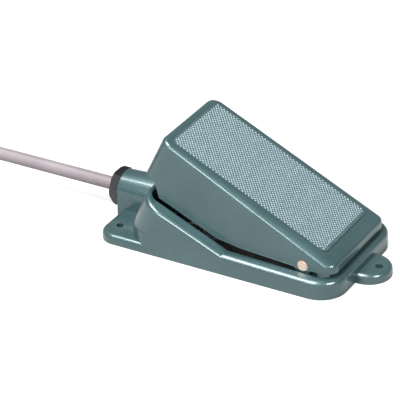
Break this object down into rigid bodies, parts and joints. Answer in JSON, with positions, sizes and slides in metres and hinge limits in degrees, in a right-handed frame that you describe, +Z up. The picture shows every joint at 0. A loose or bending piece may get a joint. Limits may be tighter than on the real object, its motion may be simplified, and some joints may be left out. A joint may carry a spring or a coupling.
{
  "type": "foot switch",
  "caption": "Heel-hinged foot switch: low cast base with a rim that climbs to the toe, sloping hollow pedal with a tread pad, switch inside, and a cable from the toe wall.",
  "frame": {"origin": "centre of the housing's box on the floor, cable left out: midway between the heel ear and the gland's end, midway across the width, at floor height", "axes": "+Z up; +Y from the heel hinge to the raised toe end where the cable leaves; +X across, to the right for a user whose foot points along +Y"},
  "size_m": [0.1083, 0.3731, 0.0647],
  "materials": {
    "paint": "gloss grey-green enamel on a cast surface",
    "tread": "matt, light grey-green, fine staggered bumps",
    "pin_metal": "pale coppery plating, bright",
    "spring_steel": "bright drawn wire and strip",
    "zinc_plate": "zinc plated sheet",
    "screw_steel": "zinc plated",
    "black_rubber": "matt",
    "black_plastic": "satin moulded",
    "red_plastic": "satin moulded",
    "cream_plastic": "moulded",
    "terminal_brass": "tinned brass",
    "receptacle_sleeve": "translucent sleeve",
    "brown_lead": "flexible insulation",
    "blue_lead": "flexible insulation",
    "green_lead": "flexible insulation",
    "cord_jacket": "satin, warm grey jacket",
    "tie_plastic": "satin strap",
    "core_insulation": "three coloured cores",
    "ferrule_metal": "tinned crimp sleeves"
  },
  "bodies": {
    "base": {"base_casting": "paint", "pivot_pin": "pin_metal", "return_springs": "spring_steel", "rest_buffer": "black_rubber", "stop_buffer": "black_rubber", "bottom_plate": "zinc_plate", "bottom_plate_screws": "screw_steel", "switch_case": "black_plastic", "switch_cover": "red_plastic", "lever_pin": "spring_steel", "switch_terminals": "terminal_brass", "switch_bracket": "zinc_plate", "bracket_screws": "screw_steel", "switch_screws": "screw_steel", "switch_nuts": "screw_steel", "lead_receptacles": "receptacle_sleeve", "supply_lead": "brown_lead", "switched_lead": "blue_lead", "earth_lead": "green_lead", "earth_lug": "zinc_plate", "earth_screw": "terminal_brass", "gland_screw": "black_plastic", "gland_washer": "zinc_plate", "gland_seal": "black_rubber", "power_cord": "cord_jacket", "cord_coil": "cord_jacket", "coil_tie": "tie_plastic", "cord_tail": "cord_jacket", "cord_end_cores": "core_insulation", "core_ferrules": "ferrule_metal"},
    "pedal": {"pedal_casting": "paint", "tread_pad": "tread", "adjusting_screw": "screw_steel", "adjusting_lock_nut": "screw_steel"},
    "lever": {"switch_lever": "spring_steel"},
    "plunger": {"switch_plunger": "cream_plastic"}
  },
  "joints": [
    {"name": "pedal_hinge", "type": "hinge", "parent": "base", "child": "pedal", "pos_m": [0, -0.0465, 0.0138], "axis": [-1, 0, 0], "range_deg": [0, 4], "stiffness_Nm_per_rad": 4, "springref_deg": -7.16, "deforming": ["return_springs"]},
    {"name": "lever_hinge", "type": "hinge", "parent": "base", "child": "lever", "pos_m": [0, -0.0064, 0.0352], "axis": [-1, 0, 0], "range_deg": [0, 9.2]},
    {"name": "plunger_slide", "type": "slide", "parent": "base", "child": "plunger", "axis": [0, 0, -1], "range_m": [0, 0.00056]}
  ],
  "couplings": [
    {"joint": "lever_hinge", "follows": "pedal_hinge", "ratio": 2.3},
    {"joint": "plunger_slide", "follows": "pedal_hinge", "m_per_rad": 0.00788}
  ]
}
